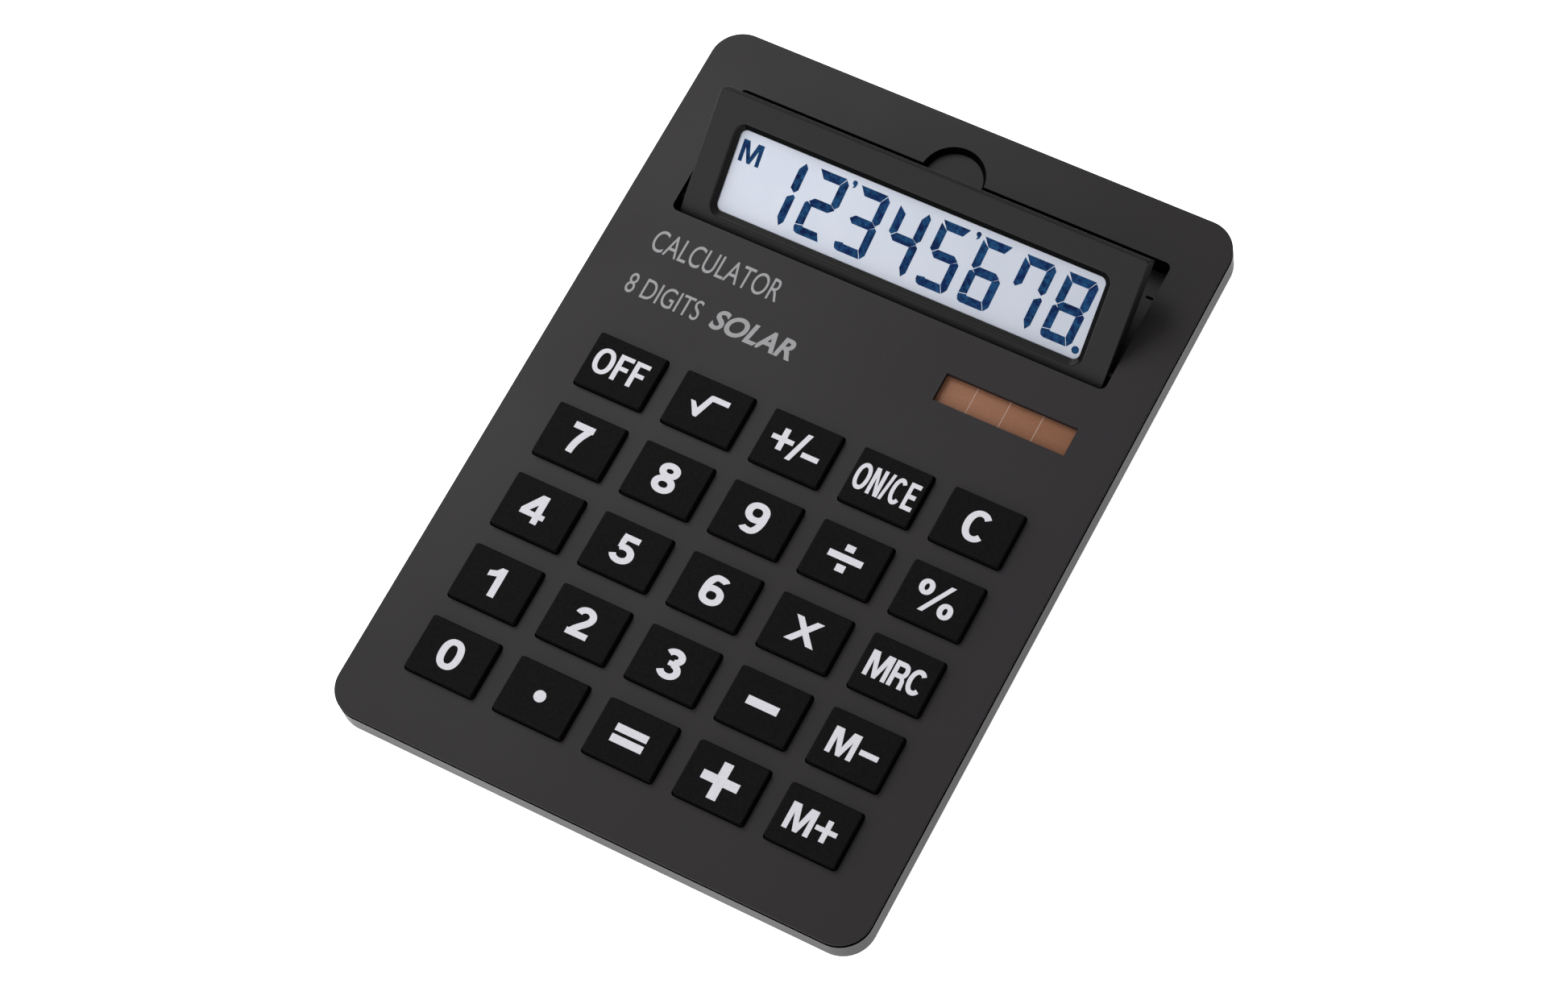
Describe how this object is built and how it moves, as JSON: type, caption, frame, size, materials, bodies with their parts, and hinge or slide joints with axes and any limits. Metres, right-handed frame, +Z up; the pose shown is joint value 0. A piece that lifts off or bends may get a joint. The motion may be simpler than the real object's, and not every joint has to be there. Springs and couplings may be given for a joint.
{
  "type": "desk calculator",
  "caption": "Flat desk calculator with large keys, a solar cell and a display that tilts up out of a recess.",
  "frame": {"origin": "centre of the footprint, on the surface that the feet stand on", "axes": "+X to the user's right, +Y from the keys towards the display, +Z up"},
  "size_m": [0.21, 0.296, 0.0375],
  "materials": {
    "charcoal_plastic": "fine matte texture",
    "bezel_plastic": "fine matte texture",
    "key_plastic": "fine matte texture with pale printed legends",
    "lcd_glass": "smooth, with dark blue segments",
    "solar_cell": "smooth, four strips",
    "circuit_board": "satin",
    "silicone_rubber": "matte",
    "elastomer": "matte",
    "chip_epoxy": "satin",
    "lead_insulation": "satin",
    "nickel_spring": "bright nickel",
    "cable_film": "satin film",
    "steel": "zinc plated",
    "foot_rubber": "matte"
  },
  "bodies": {
    "case": {"top_cover": "charcoal_plastic", "bottom_case": "charcoal_plastic", "circuit_board": "circuit_board", "key_mat": "silicone_rubber", "controller_chip": "chip_epoxy", "solar_cell": "solar_cell", "solar_lead": "lead_insulation", "button_cell": "steel", "battery_contact_minus": "nickel_spring", "battery_contact_plus": "nickel_spring", "display_cable": "cable_film", "tilt_friction_clip": "steel", "board_screw_1": "steel", "board_screw_2": "steel", "case_screw_front_left": "steel", "case_screw_front_right": "steel", "case_screw_middle_left": "steel", "case_screw_middle_right": "steel", "case_screw_back_left": "steel", "case_screw_back_right": "steel", "foot_front_left": "foot_rubber", "foot_front_right": "foot_rubber", "foot_back_left": "foot_rubber", "foot_back_right": "foot_rubber"},
    "display": {"display_bezel": "bezel_plastic", "display_back_cover": "bezel_plastic", "lcd_panel": "lcd_glass", "lcd_contact_strip": "elastomer", "display_board": "circuit_board", "display_hinge_pin_left": "steel", "display_hinge_pin_right": "steel", "display_screw_left": "steel", "display_screw_right": "steel"},
    "battery_cover": {"battery_cover": "charcoal_plastic"},
    "key_off": {"key_off": "key_plastic"},
    "key_square_root": {"key_square_root": "key_plastic"},
    "key_plus_minus": {"key_plus_minus": "key_plastic"},
    "key_on_ce": {"key_on_ce": "key_plastic"},
    "key_clear": {"key_clear": "key_plastic"},
    "key_7": {"key_7": "key_plastic"},
    "key_8": {"key_8": "key_plastic"},
    "key_9": {"key_9": "key_plastic"},
    "key_divide": {"key_divide": "key_plastic"},
    "key_percent": {"key_percent": "key_plastic"},
    "key_4": {"key_4": "key_plastic"},
    "key_5": {"key_5": "key_plastic"},
    "key_6": {"key_6": "key_plastic"},
    "key_multiply": {"key_multiply": "key_plastic"},
    "key_memory_recall": {"key_memory_recall": "key_plastic"},
    "key_1": {"key_1": "key_plastic"},
    "key_2": {"key_2": "key_plastic"},
    "key_3": {"key_3": "key_plastic"},
    "key_minus": {"key_minus": "key_plastic"},
    "key_memory_minus": {"key_memory_minus": "key_plastic"},
    "key_0": {"key_0": "key_plastic"},
    "key_decimal_point": {"key_decimal_point": "key_plastic"},
    "key_equals": {"key_equals": "key_plastic"},
    "key_plus": {"key_plus": "key_plastic"},
    "key_memory_plus": {"key_memory_plus": "key_plastic"}
  },
  "joints": [
    {"name": "display_tilt", "type": "hinge", "parent": "case", "child": "display", "pos_m": [0, 0.08055, 0.011], "axis": [1, 0, 0], "range_deg": [-33, 2], "deforming": ["display_cable"]},
    {"name": "battery_cover_turn", "type": "hinge", "parent": "case", "child": "battery_cover", "pos_m": [-0.06, 0.054, 0.001], "axis": [0, 0, -1], "range_deg": [0, 90]},
    {"name": "key_off_press", "type": "slide", "parent": "case", "child": "key_off", "axis": [0, 0, -1], "range_m": [0, 0.0016], "stiffness_N_per_m": 300, "springref_m": -0.001},
    {"name": "key_square_root_press", "type": "slide", "parent": "case", "child": "key_square_root", "axis": [0, 0, -1], "range_m": [0, 0.0016], "stiffness_N_per_m": 300, "springref_m": -0.001},
    {"name": "key_plus_minus_press", "type": "slide", "parent": "case", "child": "key_plus_minus", "axis": [0, 0, -1], "range_m": [0, 0.0016], "stiffness_N_per_m": 300, "springref_m": -0.001},
    {"name": "key_on_ce_press", "type": "slide", "parent": "case", "child": "key_on_ce", "axis": [0, 0, -1], "range_m": [0, 0.0016], "stiffness_N_per_m": 300, "springref_m": -0.001},
    {"name": "key_clear_press", "type": "slide", "parent": "case", "child": "key_clear", "axis": [0, 0, -1], "range_m": [0, 0.0016], "stiffness_N_per_m": 300, "springref_m": -0.001},
    {"name": "key_7_press", "type": "slide", "parent": "case", "child": "key_7", "axis": [0, 0, -1], "range_m": [0, 0.0016], "stiffness_N_per_m": 300, "springref_m": -0.001},
    {"name": "key_8_press", "type": "slide", "parent": "case", "child": "key_8", "axis": [0, 0, -1], "range_m": [0, 0.0016], "stiffness_N_per_m": 300, "springref_m": -0.001},
    {"name": "key_9_press", "type": "slide", "parent": "case", "child": "key_9", "axis": [0, 0, -1], "range_m": [0, 0.0016], "stiffness_N_per_m": 300, "springref_m": -0.001},
    {"name": "key_divide_press", "type": "slide", "parent": "case", "child": "key_divide", "axis": [0, 0, -1], "range_m": [0, 0.0016], "stiffness_N_per_m": 300, "springref_m": -0.001},
    {"name": "key_percent_press", "type": "slide", "parent": "case", "child": "key_percent", "axis": [0, 0, -1], "range_m": [0, 0.0016], "stiffness_N_per_m": 300, "springref_m": -0.001},
    {"name": "key_4_press", "type": "slide", "parent": "case", "child": "key_4", "axis": [0, 0, -1], "range_m": [0, 0.0016], "stiffness_N_per_m": 300, "springref_m": -0.001},
    {"name": "key_5_press", "type": "slide", "parent": "case", "child": "key_5", "axis": [0, 0, -1], "range_m": [0, 0.0016], "stiffness_N_per_m": 300, "springref_m": -0.001},
    {"name": "key_6_press", "type": "slide", "parent": "case", "child": "key_6", "axis": [0, 0, -1], "range_m": [0, 0.0016], "stiffness_N_per_m": 300, "springref_m": -0.001},
    {"name": "key_multiply_press", "type": "slide", "parent": "case", "child": "key_multiply", "axis": [0, 0, -1], "range_m": [0, 0.0016], "stiffness_N_per_m": 300, "springref_m": -0.001},
    {"name": "key_memory_recall_press", "type": "slide", "parent": "case", "child": "key_memory_recall", "axis": [0, 0, -1], "range_m": [0, 0.0016], "stiffness_N_per_m": 300, "springref_m": -0.001},
    {"name": "key_1_press", "type": "slide", "parent": "case", "child": "key_1", "axis": [0, 0, -1], "range_m": [0, 0.0016], "stiffness_N_per_m": 300, "springref_m": -0.001},
    {"name": "key_2_press", "type": "slide", "parent": "case", "child": "key_2", "axis": [0, 0, -1], "range_m": [0, 0.0016], "stiffness_N_per_m": 300, "springref_m": -0.001},
    {"name": "key_3_press", "type": "slide", "parent": "case", "child": "key_3", "axis": [0, 0, -1], "range_m": [0, 0.0016], "stiffness_N_per_m": 300, "springref_m": -0.001},
    {"name": "key_minus_press", "type": "slide", "parent": "case", "child": "key_minus", "axis": [0, 0, -1], "range_m": [0, 0.0016], "stiffness_N_per_m": 300, "springref_m": -0.001},
    {"name": "key_memory_minus_press", "type": "slide", "parent": "case", "child": "key_memory_minus", "axis": [0, 0, -1], "range_m": [0, 0.0016], "stiffness_N_per_m": 300, "springref_m": -0.001},
    {"name": "key_0_press", "type": "slide", "parent": "case", "child": "key_0", "axis": [0, 0, -1], "range_m": [0, 0.0016], "stiffness_N_per_m": 300, "springref_m": -0.001},
    {"name": "key_decimal_point_press", "type": "slide", "parent": "case", "child": "key_decimal_point", "axis": [0, 0, -1], "range_m": [0, 0.0016], "stiffness_N_per_m": 300, "springref_m": -0.001},
    {"name": "key_equals_press", "type": "slide", "parent": "case", "child": "key_equals", "axis": [0, 0, -1], "range_m": [0, 0.0016], "stiffness_N_per_m": 300, "springref_m": -0.001},
    {"name": "key_plus_press", "type": "slide", "parent": "case", "child": "key_plus", "axis": [0, 0, -1], "range_m": [0, 0.0016], "stiffness_N_per_m": 300, "springref_m": -0.001},
    {"name": "key_memory_plus_press", "type": "slide", "parent": "case", "child": "key_memory_plus", "axis": [0, 0, -1], "range_m": [0, 0.0016], "stiffness_N_per_m": 300, "springref_m": -0.001}
  ]
}
